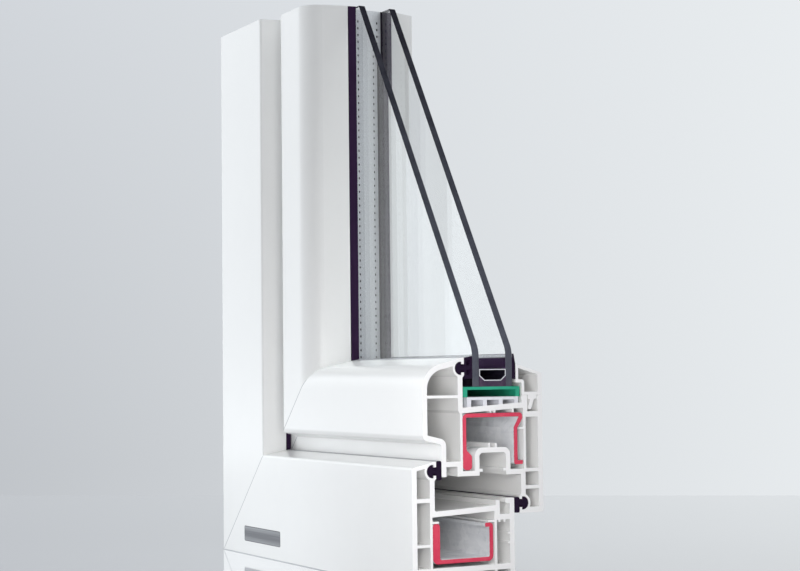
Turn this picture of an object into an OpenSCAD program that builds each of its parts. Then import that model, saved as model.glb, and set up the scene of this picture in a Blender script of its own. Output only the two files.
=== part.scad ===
// Bottom corner sample of a PVC window: outer frame, opening sash, bead and double glazing.
// Sections are drawn on two axes: v runs from the outdoor face to the room,
// u runs from the outer edge of the window towards the glass.
// The sill arm carries a section along X, the jamb arm carries it up Z, and they meet at 45 degrees.

/* [Corner sample] */
// Length of the sill arm, outer corner to cut end
sill_length = 240; // [180:5:400]
// Height of the jamb arm, outer corner to cut end
jamb_height = 320; // [200:5:500]
// Height above the sash, on both cut ends, at which the slanted cut of the panes begins
glass_cut = 4; // [2:0.5:30]
// Radius at the foot of the slanted cut
cut_turn = 12; // [2:1:14]

/* [Outer frame] */
// Depth of the frame, outdoor face to room face
frame_depth = 60; // [58:0.5:70]
// Height of the outdoor face
face_height = 60; // [58:0.5:62]
// Height of the room face
room_height = 43; // [41:0.5:44]
// Depth of the upright that carries the frame seal
upright = 13; // [12.5:0.25:14]
// Height of the feet under the frame
foot_height = 7; // [4:0.5:9]
// Height of the lower rib of the outdoor chambers
low_rib = 20.4; // [16:0.2:24]
// Height of the upper rib of the outdoor chambers
high_rib = 42.6; // [38:0.2:46]

/* [Sash] */
// Set back of the sash face behind the frame face
setback = 6.5; // [5.5:0.25:8]
// Height of the sash section
sash_height = 80; // [78:0.5:86]
// Air gap between frame and sash, where the fittings run
air_gap = 12; // [11:0.5:13]
// Overlap of the sash on the room face of the frame
overlap = 8; // [7.5:0.25:9]
// Radius of the rounded outdoor edge of the sash
nose_radius = 13; // [9:0.5:15]
// Depth of the glazing rebate
rebate_depth = 25.5; // [24:0.5:26.5]
// Distance from the frame's room face to the outdoor wall of the glazing rebate
rebate_axis = 30; // [29:0.25:31]

/* [Fittings groove] */
// Width of the groove
groove_width = 16; // [14:0.5:17]
// Depth of the groove
groove_depth = 11.5; // [9:0.5:13]
// Distance from the frame's room face to the middle of the groove
groove_axis = 12.5; // [12:0.5:13]

/* [Walls] */
// Thickness of the visible walls
wall = 2.8; // [2.5:0.1:3]
// Thickness of the inner webs
web = 1.4; // [1.2:0.1:1.6]
// Thickness of the screw and stop nibs
nib = 1; // [0.8:0.1:1.2]

/* [Glazing] */
// Thickness of each pane
pane = 4; // [3:0.5:5]
// Width of the cavity between the panes
cavity = 16; // [14:0.5:18]
// Height of the spacer bar
spacer_height = 6; // [5:0.25:7]
// Wall of the spacer bar
spacer_wall = 0.5; // [0.4:0.05:0.7]
// Depth of the sealant behind the spacer bar
sealant_depth = 3; // [2.5:0.25:3.5]

/* [Glazing bead] */
// Width of the bead
bead_width = 16; // [15:0.5:18]
// Height of the bead on the glass side
bead_height = 16.2; // [14:0.2:17]
// Fall of the sloped top of the bead
bead_fall = 4.8; // [3:0.2:6]
// Wall of the bead
bead_wall = 1.6; // [1.2:0.1:2]

/* [Seals] */
// Radius of the round seal grooves
seal_radius = 3.4; // [3.2:0.1:3.6]
// Height of the groove mouths
seal_mouth = 4.2; // [3.6:0.1:4.6]
// Gap the frame seal closes
frame_gap = 3.2; // [3:0.1:3.6]
// Gap the sash seal closes
sash_gap = 3.4; // [3:0.1:3.8]
// Gap the glazing seal closes
glazing_gap = 5; // [4.5:0.1:5.5]
// Gap the bead seal closes
bead_gap = 2; // [1.8:0.1:2.4]

/* [Steel] */
// Sheet thickness
sheet = 2; // [1.5:0.05:2.2]
// Distance from the corner of the frame's chambers to the ends of the steels in them
frame_steel_start = 10; // [4:1:40]
// Distance from the corner of the sash's chambers to the ends of the steels in them
sash_steel_start = 10; // [4:1:40]

/* [Packers] */
// Length of the setting block and of the bridge under it
packer_length = 100; // [50:5:120]
// Height of the setting block
block_height = 5.2; // [4.6:0.1:6]
// Height of the bridge over the foot of the glazing rebate
bridge_height = 5.3; // [4.8:0.1:6]
// Wall of both packers
packer_wall = 2.4; // [1.8:0.1:2.8]
// Thickness of the plate of both packers
packer_plate = 1.5; // [1.2:0.1:2]

/* [Fits] */
// Play between a seal or a steel and its chamber
fit = 0.2; // [0.1:0.05:0.3]

/* [Hidden] */
$fn = 64;
// Bite of a rounded corner into the straights beside it, and overrun of a cut past a face
bite = 0.01;
past = 1;
// Small radii: broken edge, soft edge and blunt end
edge = 0.4;
soft = 1;
blunt = 1.5;

// Seal grooves: lip ahead of its wall, centre behind the lip, wall round the groove and at its mouth
lip = 1;
mouth_depth = 2;
groove_wall = 1.2;
mouth_wall = 1.4;
lip_reach = 3.6;
lip_taper = 1.2;
seal_neck = 2.2;

// Outer frame
lip_rise = 3;
seal_drop = 2;
floor_drop = 5;
floor_rise = 1.6;
keep_drop = 8;
keep_wall = 2.5;
keep_short = 0.8;
step_back = 11.2;
core_back = 12;
hook_width = 5.4;
hook_height = 2.6;
toe = 2;
toe_height = 1.5;
roof = 2.05;
frame_nib_drop = 6;
frame_nib_fall = 0.8;
frame_nib_reach = 3.8;
screw_nib = 1.2;
roof_nib_first = 9;
roof_nib_second = 6;
wall_nib_first = 10.3;
wall_nib_second = 15.3;
frame_seal_up = 5.2;
frame_seal_down = 4.4;
lip_v = upright + lip;
frame_seal = [lip_v - mouth_depth, face_height - seal_drop];
base_u = foot_height + wall;
floor_u = room_height - floor_drop;
keep_u = room_height - keep_drop;
step_v = frame_depth - step_back;
web_v = frame_depth - core_back;
core_v = upright - wall + web;
frame_nib_u = floor_u - frame_nib_drop;

// Sash
nose_tilt = 13.3;
leg_height = 16.3;
leg_floor = 7.5;
leg_slot = 5;
rib_drop = 20.5;
seat_drop = 19.6;
foot_rise = 2.2;
glaze_drop = 5.5;
flange_rise = 5;
catch_back = 12.5;
catch_wall = 3.4;
catch_stem = 2.2;
pocket_depth = 8.4;
hall_shift = 0.3;
housing = 2.6;
housing_turn = 4;
groove_turn = 2;
groove_nib = 1.8;
groove_nib_rise = 2;
hall_nib_first = 16.5;
hall_nib_second = 19;
hall_nib_third = 30;
hall_nib_drop = 11.5;
shelf = 14;
shelf_web = 1.8;
sash_seal_up = 3.2;
sash_seal_down = 4.8;
glaze_seal_up = 6.3;
glaze_seal_down = 5.3;
leg_v = lip_v + frame_gap;
face_u = room_height + air_gap;
sash_u = room_height - overlap;
top_u = sash_u + sash_height;
rebate_v = frame_depth - rebate_axis;
glaze_v = rebate_v + lip;
glaze_seal = [glaze_v - mouth_depth, top_u - glaze_drop];
flange_v = frame_depth + sash_gap;
flange_seal = [flange_v + mouth_depth, sash_u + flange_rise];
step_u = face_u + leg_height;
rib_u = top_u - rib_drop;
foot_u = top_u - rebate_depth;
seat_u = top_u - seat_drop;
slope_wall = wall / cos(nose_tilt);

// Glazing and bead
bead_step = 1.9;
bead_seal_low = 3.8;
bead_seal_rise = 5.2;
bead_seal_tip = 0.8;
bead_room_wall = 2.6;
bead_heel = 2.1;
bead_play = 0.5;
bead_arm_lean = 1.6;
bead_arm_root = 2.4;
bead_arm_tip = 2;
spacer_corner = 3;
spacer_shoulder = 2.5;
glass_v = glaze_v + glazing_gap;
inner_v = glass_v + pane + cavity;
bead_v = inner_v + pane + bead_gap;
room_v = bead_v + bead_width;
bridge_u = foot_u + bridge_height;
glass_u = bridge_u + block_height;
spacer_u = glass_u + sealant_depth;
cut_u = top_u + glass_cut;
catch_v = room_v - catch_back;
stem_v = catch_v + catch_stem;
pocket_v = catch_v + catch_wall;
pocket_u = seat_u - pocket_depth;

// Steel chamber of the sash and the fittings groove under it
hall_v = rebate_v - hall_shift;
hall_end = stem_v - web;
hall_u = face_u + housing;
groove_v = frame_depth - groove_axis - groove_width / 2;
groove_end = groove_v + groove_width;
groove_top = face_u + groove_depth;

// Steels
steel_turn = 2.8;
steel_lift = 2;
steel_clear = 1;
steel_hook = 4.5;
hem = 5.2;
hem_height = 7;
hem_taper = 3;
knee = 3.2;
knee_low = 7.6;
knee_high = 3;
shin_lift = 2;

// Packers
block_inset = 0.4;
block_gap = 1.3;
bridge_inset = 2.6;
bridge_gap = 2.1;

pvc = [0.93, 0.94, 0.95];
zinc = [0.72, 0.74, 0.76];
rubber = [0.14, 0.1, 0.16];
glass = [0.7, 0.82, 0.84, 0.4];
bright = [0.8, 0.81, 0.82];

// Height of the sloped foot of the glazing rebate
function foot(v) = foot_u + foot_rise * (v - rebate_v) / (catch_v - rebate_v);

// Height of the sloped top of the frame, of the sash and of the underside of the sash's nose
function frame_top(v) = face_height + lip_rise * v / lip_v;
function sash_top(v) = top_u - (glaze_v - v) * tan(nose_tilt);
function nose_low(v) = step_u + (leg_v - v) * tan(nose_tilt);

function unit(p) = p / norm(p);
function flat(p) = [p[0], p[1]];

// Corner b between a and c: the ends of its arc, the corner itself, the centre, the radius, whether convex
function corner(a, b, c) =
    let (
        d = unit(flat(a) - flat(b)),
        e = unit(flat(c) - flat(b)),
        half = acos(d * e) / 2,
        r = len(b) > 2 ? b[2] : 0,
        reach = r / tan(half))
    [flat(b) + d * reach, flat(b) + e * reach, flat(b), flat(b) + unit(d + e) * r / sin(half), r,
        cross(d, e) < 0];

// The part of a corner's disc that lies between the corner and the chord of its arc
module arc_cap(c)
    intersection() {
        translate(c[3]) circle(c[4] + bite);
        polygon(c[5] ? [c[0], c[2], c[1]] : [c[1], c[2], c[0]]);
    }

// Outline whose points are [v, u] or [v, u, radius], listed anticlockwise
module rounded(points) {
    last = len(points) - 1;
    corners = [for (i = [0:last])
        corner(points[i == 0 ? last : i - 1], points[i], points[i == last ? 0 : i + 1])];
    difference() {
        union() {
            polygon([for (c = corners) each c[4] > 0 ? [c[0], c[1]] : [c[2]]]);
            for (c = corners)
                if (c[4] > 0 && c[5]) arc_cap(c);
        }
        for (c = corners)
            if (c[4] > 0 && !c[5]) arc_cap(c);
    }
}

module from_to(v0, u0, v1, u1)
    translate([v0, u0]) square([v1 - v0, u1 - u0]);

module placed()
    translate([-sill_length / 2, -room_v / 2, 0]) children();

// An arm with the section along X, mitred at the outer corner
module arm(length)
    intersection() {
        rotate([90, 0, 90]) linear_extrude(length) children();
        translate([0, room_v + past, 0]) rotate([90, 0, 0]) linear_extrude(room_v + 2 * past)
            polygon([[-past, -past], [length + past, -past], [length + past, length + past]]);
    }

module along_sill() arm(sill_length) children();

module along_jamb() mirror([1, 0, -1]) arm(jamb_height) children();

// A square cut length with the section along X
module length_of(start, end)
    translate([start, 0, 0]) rotate([90, 0, 90]) linear_extrude(end - start) children();

// Seal groove about its centre, with its mouth towards +v
module seal_groove() {
    intersection() {
        circle(seal_radius);
        from_to(-seal_radius - past, -seal_radius - past, mouth_depth - mouth_wall, seal_radius + past);
    }
    from_to(0, -seal_mouth / 2, mouth_depth + past, seal_mouth / 2);
}

// Foot of a push-in seal about the centre of its groove
module seal_foot() {
    intersection() {
        circle(seal_radius - fit);
        from_to(-seal_radius, -seal_radius, mouth_depth - mouth_wall - 2 * fit, seal_radius);
    }
    from_to(0, -seal_neck / 2, mouth_depth + lip, seal_neck / 2);
}

// Push-in seal whose lip closes a gap and reaches up and down from the middle of its groove
module seal(gap, up, down) {
    face = mouth_depth + fit / 2;
    tip = mouth_depth + gap - fit / 2;
    turn = (tip - face) / 3;
    seal_foot();
    rounded([[face, -down, turn], [tip, -down, turn], [tip, up, turn], [face, up, turn]]);
}

// Glazing seal with two hollow cells behind its sealing face
module glazing_seal() {
    face = mouth_depth + fit / 2;
    tip = mouth_depth + glazing_gap - fit / 2;
    left = face + mouth_wall;
    right = tip - soft;
    seal_foot();
    difference() {
        rounded([[face, -glaze_seal_down, soft], [tip, -glaze_seal_down, soft], [tip, glaze_seal_up, edge],
            [face, glaze_seal_up - soft, soft]]);
        rounded([[left, lip, edge], [right, lip + soft, edge], [right, glaze_seal_up - blunt, edge],
            [left, glaze_seal_up - blunt - soft, edge]]);
        rounded([[left, -glaze_seal_down + blunt, edge], [right, -glaze_seal_down + blunt + soft, edge],
            [right, -edge, edge], [left, -soft, edge]]);
    }
}

module frame_outline() {
    rounded([[0, foot_height], [frame_depth, foot_height], [frame_depth, room_height, edge],
        [frame_depth - hook_width, room_height, edge],
        [frame_depth - hook_width, room_height - hook_height, soft],
        [frame_depth - wall, room_height - hook_height], [frame_depth - wall, keep_u],
        [step_v + keep_wall, keep_u], [step_v + keep_wall, room_height - keep_short, edge],
        [step_v, room_height - keep_short, edge], [step_v, floor_u + floor_rise, edge],
        [upright, floor_u, soft], [upright, frame_seal[1] - lip_reach - lip_taper],
        [lip_v, frame_seal[1] - lip_reach], [lip_v, frame_top(lip_v), edge],
        [0, face_height, blunt]]);
    from_to(0, 0, wall, foot_height + past);
    from_to(0, 0, wall + toe, toe_height);
    from_to(frame_depth - wall, 0, frame_depth, foot_height + past);
    from_to(frame_depth - wall - toe, 0, frame_depth, toe_height);
    from_to(web_v, 0, web_v + web, foot_height + past);
}

// Space for the frame's steel, with the two nibs that hold it down
module core_chamber()
    difference() {
        polygon([[core_v, base_u], [web_v, base_u], [web_v, floor_u + floor_rise - wall],
            [core_v, floor_u - wall]]);
        from_to(core_v - past, frame_nib_u, core_v + frame_nib_reach, frame_nib_u + nib);
        from_to(web_v - frame_nib_reach, frame_nib_u - frame_nib_fall, web_v + past,
            frame_nib_u - frame_nib_fall + nib);
    }

// Space on the room side of the frame, with screw nibs on its roof and wall
module room_chamber()
    difference() {
        from_to(web_v + web, base_u, frame_depth - wall, keep_u - wall);
        for (v = [roof_nib_first, roof_nib_second])
            from_to(frame_depth - v - nib / 2, keep_u - wall - screw_nib, frame_depth - v + nib / 2, keep_u);
        for (u = [wall_nib_first, wall_nib_second])
            from_to(frame_depth - wall - screw_nib, keep_u - u, frame_depth, keep_u - u + nib);
    }

module frame_section()
    difference() {
        frame_outline();
        translate(frame_seal) seal_groove();
        from_to(wall, base_u, upright - wall, low_rib);
        from_to(wall, low_rib + web, upright - wall, high_rib);
        difference() {
            polygon([[wall, high_rib + roof], [upright - wall, high_rib + roof],
                [upright - wall, frame_top(upright - wall) - roof], [wall, frame_top(wall) - roof]]);
            translate(frame_seal) circle(seal_radius + groove_wall);
        }
        core_chamber();
        room_chamber();
    }

// Lipped channel, doubled on its outdoor side, held down by the nibs of its chamber
module frame_steel_section() {
    left = core_v + fit;
    right = web_v - steel_clear;
    low = base_u + steel_lift;
    doubled = left + 2 * sheet;
    top = frame_nib_u - fit;
    hook_u = top - frame_nib_fall;
    rounded([[left, low, steel_turn], [right, low, steel_turn], [right, hook_u, sheet],
        [right - steel_hook, hook_u, edge], [right - steel_hook, hook_u - sheet, edge],
        [right - sheet, hook_u - sheet, edge], [right - sheet, low + sheet, steel_turn - sheet],
        [doubled, low + sheet, soft], [doubled, top, sheet - edge], [left, top, sheet - edge]]);
}

module sash_outline()
    rounded([[leg_v, face_u, edge], [flange_v + lip, face_u, edge],
        [flange_v + lip, flange_seal[1] + lip_reach + lip_taper], [flange_v, flange_seal[1] + lip_reach],
        [flange_v, sash_u, edge], [room_v, sash_u, soft], [room_v, seat_u], [room_v - wall, seat_u],
        [room_v - wall, pocket_u], [pocket_v, pocket_u], [pocket_v, seat_u, edge], [catch_v, seat_u, edge],
        [catch_v, foot(catch_v), edge], [rebate_v, foot_u, edge],
        [rebate_v, glaze_seal[1] - lip_reach - lip_taper], [glaze_v, glaze_seal[1] - lip_reach],
        [glaze_v, top_u, edge], [setback, sash_top(setback), nose_radius],
        [setback, nose_low(setback), wall], [leg_v, step_u, soft]]);

// Space inside the rounded outdoor edge of the sash
module nose_chamber() {
    left = setback + wall;
    right = rebate_v - wall;
    difference() {
        rounded([[left, rib_u + web], [right, rib_u + web], [right, sash_top(right) - slope_wall],
            [left, sash_top(left) - slope_wall, nose_radius - wall]]);
        translate(glaze_seal) circle(seal_radius + groove_wall);
    }
}

// Space behind the outdoor face of the sash, down into the leg that meets the frame seal
module leg_chamber() {
    left = setback + wall;
    shin = leg_v + wall;
    rounded([[shin, face_u + leg_floor], [hall_v - web, face_u + leg_floor], [hall_v - web, foot_u - wall],
        [rebate_v - wall, foot_u - web], [rebate_v - wall, rib_u], [left, rib_u],
        [left, nose_low(left) + slope_wall, edge], [shin, nose_low(shin) + slope_wall, soft + wall]]);
}

// Steel chamber of the sash, round the housing of the fittings groove
module hall_chamber()
    difference() {
        polygon([[hall_v, hall_u], [hall_end, hall_u], [hall_end, foot(hall_end) - wall],
            [hall_v, foot_u - wall]]);
        rounded([[groove_v - housing, face_u], [groove_end + housing, face_u],
            [groove_end + housing, groove_top + housing, housing_turn],
            [groove_v - housing, groove_top + housing, housing_turn]]);
        for (side = [-1, 1])
            translate([groove_v + groove_width / 2 + side * 2 * nib - nib / 2, groove_top])
                square([nib, 2 * housing - edge]);
        for (v = [hall_nib_first, hall_nib_second, hall_nib_third])
            from_to(rebate_v + v - nib / 2, foot_u - wall, rebate_v + v + nib / 2, foot_u);
        from_to(hall_end - housing, foot_u - hall_nib_drop, hall_end + past, foot_u - hall_nib_drop + nib);
    }

module fittings_groove()
    difference() {
        rounded([[groove_v, face_u - past], [groove_end, face_u - past], [groove_end, groove_top, groove_turn],
            [groove_v, groove_top, groove_turn]]);
        for (v = [groove_v - past, groove_end - groove_nib])
            translate([v, face_u + groove_nib_rise]) square([groove_nib + past, mouth_wall]);
    }

module sash_section()
    difference() {
        sash_outline();
        translate(glaze_seal) seal_groove();
        translate(flange_seal) mirror([1, 0]) seal_groove();
        fittings_groove();
        nose_chamber();
        leg_chamber();
        hall_chamber();
        from_to(leg_v + wall, face_u - past, hall_v - wall - edge, face_u + leg_slot);
        from_to(stem_v, face_u + wall, room_v - wall, pocket_u - wall);
        from_to(flange_v + lip + wall, sash_u + shelf, room_v - wall, face_u + past);
        difference() {
            from_to(flange_v + lip + wall, sash_u + wall, room_v - wall, sash_u + shelf - shelf_web);
            translate(flange_seal) circle(seal_radius + groove_wall);
        }
    }

// Folded sheet with a hem on its outdoor leg and a kneed leg on the room side
module sash_steel_section() {
    left = hall_v + fit;
    right = hall_end - fit - edge;
    top = foot_u - wall - fit;
    low = hall_u + edge;
    shin = right - knee;
    sole = low + shin_lift;
    rounded([[left, low, sheet], [left + hem, low, sheet], [left + hem, low + hem_height, sheet],
        [left + sheet, low + hem_height + hem_taper, sheet], [left + sheet, top - sheet, edge],
        [right - sheet, top - sheet, edge], [shin - sheet, top - knee_low, soft],
        [shin - sheet, sole, soft], [right, sole, edge], [right, sole + sheet, edge],
        [shin, sole + sheet, edge], [shin, top - knee_low - edge, soft], [right, top - knee_high, soft],
        [right, top, sheet], [left, top, steel_turn]]);
}

// Heel of the bead in the mouth of the pocket, with the hooked arm that catches on the pocket's wall
module bead_hook(low) {
    left = pocket_v + bead_play;
    right = room_v - wall - bead_play;
    heel_u = low - bead_heel;
    arm_u = pocket_u + soft;
    tip = pocket_v + fit;
    root = tip + bead_arm_lean;
    rounded([[left, heel_u, edge], [root, heel_u, edge], [tip, arm_u, soft - edge / 2],
        [tip + bead_arm_tip, arm_u, soft - edge / 2], [root + bead_arm_root, heel_u, blunt],
        [right, heel_u, edge], [right, low + soft], [left, low + soft]]);
}

// Snap-in bead: a hollow body with a stepped foot and a hook that catches in the pocket
module bead_section() {
    low = seat_u + fit / 2;
    left = catch_v + fit / 2;
    step = glass_u + bead_step;
    top = seat_u + bead_height;
    slope = bead_fall / bead_width;
    right = room_v - bead_room_wall;
    difference() {
        rounded([[left, low], [room_v, low], [room_v, top - bead_fall, soft], [bead_v, top, edge],
            [bead_v, step, edge], [left, step, edge]]);
        rounded([[left + bead_wall, low + bead_wall], [right, low + bead_wall],
            [right, top - bead_wall - slope * (right - bead_v), edge],
            [bead_v + bead_wall, top - bead_wall - slope * bead_wall],
            [bead_v + bead_wall, step + bead_wall], [left + bead_wall, step + bead_wall, bead_wall]]);
    }
    bead_hook(low);
}

module bead_seal_section() {
    left = inner_v + pane + fit / 2;
    right = bead_v - fit / 2;
    low = glass_u + bead_seal_low;
    top = seat_u + bead_height;
    rounded([[left, low, edge], [right, low, edge], [right, top],
        [left + bead_seal_tip, top + bead_seal_rise], [left, top + bead_seal_rise]]);
}

module spacer_outline(inset) {
    low = spacer_u + inset;
    high = spacer_u + spacer_height - inset;
    left = glass_v + pane + inset;
    right = inner_v - inset;
    corner = spacer_corner - inset / 2;
    shoulder = spacer_u + spacer_shoulder + inset / 2;
    polygon([[left + corner, low], [right - corner, low], [right, shoulder], [right, high], [left, high],
        [left, shoulder]]);
}

module spacer_section()
    difference() {
        spacer_outline(0);
        spacer_outline(spacer_wall);
    }

module sealant_section()
    polygon([[glass_v + pane, glass_u], [inner_v, glass_u], [inner_v, spacer_u + spacer_shoulder],
        [inner_v - spacer_corner, spacer_u], [glass_v + pane + spacer_corner, spacer_u],
        [glass_v + pane, spacer_u + spacer_shoulder]]);

module block_section() {
    left = rebate_v + block_inset;
    right = catch_v - block_gap;
    difference() {
        rounded([[left, bridge_u, edge], [right, bridge_u, edge], [right, glass_u, edge],
            [left, glass_u, edge]]);
        from_to(left + packer_wall, bridge_u - past, right - packer_wall, glass_u - packer_plate);
    }
}

module bridge_section() {
    left = rebate_v + bridge_inset;
    right = catch_v - bridge_gap;
    pitch = (right - left - packer_wall) / 3;
    difference() {
        polygon([[left, foot(left)], [right, foot(right)], [right, bridge_u], [left, bridge_u]]);
        for (i = [0:2])
            from_to(left + packer_wall + i * pitch, foot_u - past, left + (i + 1) * pitch,
                bridge_u - packer_plate);
    }
}

// A pane with its top corner cut off on the slant between the two cut ends
module pane_at(v)
    translate([0, v + pane, 0]) rotate([90, 0, 0]) linear_extrude(pane)
        rounded([[glass_u, glass_u], [sill_length, glass_u], [sill_length, cut_u, cut_turn],
            [cut_u, jamb_height], [glass_u, jamb_height]]);

module frame_sill() color(pvc) placed() along_sill() frame_section();

module frame_jamb() color(pvc) placed() along_jamb() frame_section();

module frame_steel(end) length_of(frame_nib_u + frame_steel_start, end) frame_steel_section();

module frame_steel_sill() color(zinc) placed() frame_steel(sill_length);

module frame_steel_jamb() color(zinc) placed() mirror([1, 0, -1]) frame_steel(jamb_height);

module frame_seal_section() translate(frame_seal) seal(frame_gap, frame_seal_up, frame_seal_down);

module frame_seal_sill() color(rubber) placed() along_sill() frame_seal_section();

module frame_seal_jamb() color(rubber) placed() along_jamb() frame_seal_section();

module sash_rail() color(pvc) placed() along_sill() sash_section();

module sash_stile() color(pvc) placed() along_jamb() sash_section();

module sash_steel(end) length_of(foot_u - wall + sash_steel_start, end) sash_steel_section();

module sash_steel_rail() color(zinc) placed() sash_steel(sill_length);

module sash_steel_stile() color(zinc) placed() mirror([1, 0, -1]) sash_steel(jamb_height);

module sash_seal_section()
    translate(flange_seal) mirror([1, 0]) seal(sash_gap, sash_seal_up, sash_seal_down);

module sash_seal_rail() color(rubber) placed() along_sill() sash_seal_section();

module sash_seal_stile() color(rubber) placed() along_jamb() sash_seal_section();

module glazing_seal_rail() color(rubber) placed() along_sill() translate(glaze_seal) glazing_seal();

module glazing_seal_stile() color(rubber) placed() along_jamb() translate(glaze_seal) glazing_seal();

module outer_pane() color(glass) placed() pane_at(glass_v);

module inner_pane() color(glass) placed() pane_at(inner_v);

module spacer_rail() color(bright) placed() along_sill() spacer_section();

module spacer_stile() color(bright) placed() along_jamb() spacer_section();

module sealant_rail() color(rubber) placed() along_sill() sealant_section();

module sealant_stile() color(rubber) placed() along_jamb() sealant_section();

module bead_rail() color(pvc) placed() along_sill() bead_section();

module bead_stile() color(pvc) placed() along_jamb() bead_section();

module bead_seal_rail() color(rubber) placed() along_sill() bead_seal_section();

module bead_seal_stile() color(rubber) placed() along_jamb() bead_seal_section();

module packer() length_of(sill_length - packer_length, sill_length) children();

module setting_block() color([0.18, 0.66, 0.52]) placed() packer() block_section();

module bridge_packer() color([0.86, 0.87, 0.89]) placed() packer() bridge_section();

frame_sill();
frame_jamb();
frame_steel_sill();
frame_steel_jamb();
frame_seal_sill();
frame_seal_jamb();
sash_rail();
sash_stile();
sash_steel_rail();
sash_steel_stile();
sash_seal_rail();
sash_seal_stile();
glazing_seal_rail();
glazing_seal_stile();
outer_pane();
inner_pane();
spacer_rail();
spacer_stile();
sealant_rail();
sealant_stile();
bead_rail();
bead_stile();
bead_seal_rail();
bead_seal_stile();
setting_block();
bridge_packer();
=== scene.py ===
"""Finishes, glazing and studio for a cut corner sample of a white PVC window.

The sill runs along X with its cut end at +X, the jamb runs up along Z,
and the outdoor face looks towards -Y. All sizes are in metres.
"""

import math
from typing import NamedTuple

import bpy
from bpy.props import FloatProperty, FloatVectorProperty, IntProperty, PointerProperty
from mathutils import Matrix, Vector


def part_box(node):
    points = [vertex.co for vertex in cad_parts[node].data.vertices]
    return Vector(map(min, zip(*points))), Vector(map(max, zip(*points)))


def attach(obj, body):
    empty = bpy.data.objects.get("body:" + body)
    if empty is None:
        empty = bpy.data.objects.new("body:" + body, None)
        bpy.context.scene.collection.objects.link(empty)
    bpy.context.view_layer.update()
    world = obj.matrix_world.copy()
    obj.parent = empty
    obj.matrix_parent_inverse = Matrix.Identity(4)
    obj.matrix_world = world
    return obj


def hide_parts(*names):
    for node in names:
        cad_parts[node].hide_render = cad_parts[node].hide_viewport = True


bl_info = {
    "name": "Window corner sample",
    "version": (1, 0, 0),
    "blender": (4, 5, 0),
    "location": "View3D > Sidebar > Window sample",
    "description": "Dresses a cut corner sample of a PVC window and sets its studio",
    "category": "Object",
}

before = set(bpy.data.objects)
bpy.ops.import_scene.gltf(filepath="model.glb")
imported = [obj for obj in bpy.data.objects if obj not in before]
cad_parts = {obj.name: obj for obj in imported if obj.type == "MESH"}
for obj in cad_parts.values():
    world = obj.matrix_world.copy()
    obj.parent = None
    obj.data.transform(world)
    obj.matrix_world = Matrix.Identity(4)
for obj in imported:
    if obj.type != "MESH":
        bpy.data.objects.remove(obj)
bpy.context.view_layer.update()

BODY = "root"

# Places that the finishes and the lamps are measured from
CORNER_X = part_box("frame_sill")[0].x
OUTDOOR_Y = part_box("frame_sill")[0].y
SILL_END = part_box("frame_sill")[1].x
JAMB_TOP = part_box("frame_jamb")[1].z
PANE_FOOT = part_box("outer_pane")[0].z
# Depth below a cut end that still counts as sawn
CUT_SKIN = 0.00004

# Lengths that lie along the sill and lengths that stand along the jamb
PVC_LENGTHS = {
    "lying": ("frame_sill", "sash_rail", "bead_rail"),
    "standing": ("frame_jamb", "sash_stile", "bead_stile"),
}
STEEL_LENGTHS = {
    "lying": ("frame_steel_sill", "sash_steel_rail"),
    "standing": ("frame_steel_jamb", "sash_steel_stile"),
}
SEAL_LENGTHS = {
    "lying": ("frame_seal_sill", "sash_seal_rail", "glazing_seal_rail", "bead_seal_rail"),
    "standing": ("frame_seal_jamb", "sash_seal_stile", "glazing_seal_stile", "bead_seal_stile"),
}
AXES = {"lying": Vector((1.0, 0.0, 0.0)), "standing": Vector((0.0, 0.0, 1.0))}

# Scales that draw a pattern out along a length, far for die lines and less far for rolling streaks
DRAWN = {"lying": (0.012, 1.0, 1.0), "standing": (1.0, 1.0, 0.012)}
ROLLED = {"lying": (0.12, 1.0, 1.0), "standing": (1.0, 1.0, 0.12)}

# Depths of die lines, saw marks and weld on PVC, as shares of the depth of its relief
LINE_SHARE = 0.006
SAW_SHARE = 0.05
WELD_SHARE = 0.4

# Most of a soft noise lies in this range
NOISE_LOW = 0.3
NOISE_HIGH = 0.7
# A diagonal wave texture of scale 1 repeats after this length along each axis
WAVE_LENGTH = 2 * math.pi / 10
# The weld line fades out at so many half widths from the mitre
WELD_FADE = 1.5
# How much flowers, blotches and streaks each add to the look of the zinc
ZINC_SHARE = 0.4

GLASS_IOR = 1.5

# How squarely a face looks along an axis to count as a clear face, a label's front or a bar's end
PANE_FACE = 0.999
LABEL_FRONT = 0.9
BAR_END = 0.5

# Limits and steps that the modelling works with
MERGE_DISTANCE = 0.000002
FLAT_ANGLE = math.radians(0.2)
SHARP_ANGLE = math.radians(40)
SMOOTH_ANGLE = math.radians(25)
LABEL_CORNER_STEPS = 5
TABLE_EDGE_STEPS = 3

# Parts of the direction of view between which the backdrop grows lighter
BACKDROP_RISE = (-0.05, 0.3)
BACKDROP_SWEEP = (-0.3, 0.3)

# Camera's sensor in millimetres, and the nearest distance that it sees in metres
SENSOR_WIDTH = 36.0
NEAR_CLIP = 0.01


class SoftLamp(NamedTuple):
    """A soft rectangular lamp, with the names of its power and colour in the studio's settings."""

    power: str
    place: tuple
    aim: Vector
    size: tuple
    colour: str = "cool"
    lights_table: bool = False
    in_reflections: bool = False
    through_glass: bool = True


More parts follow.
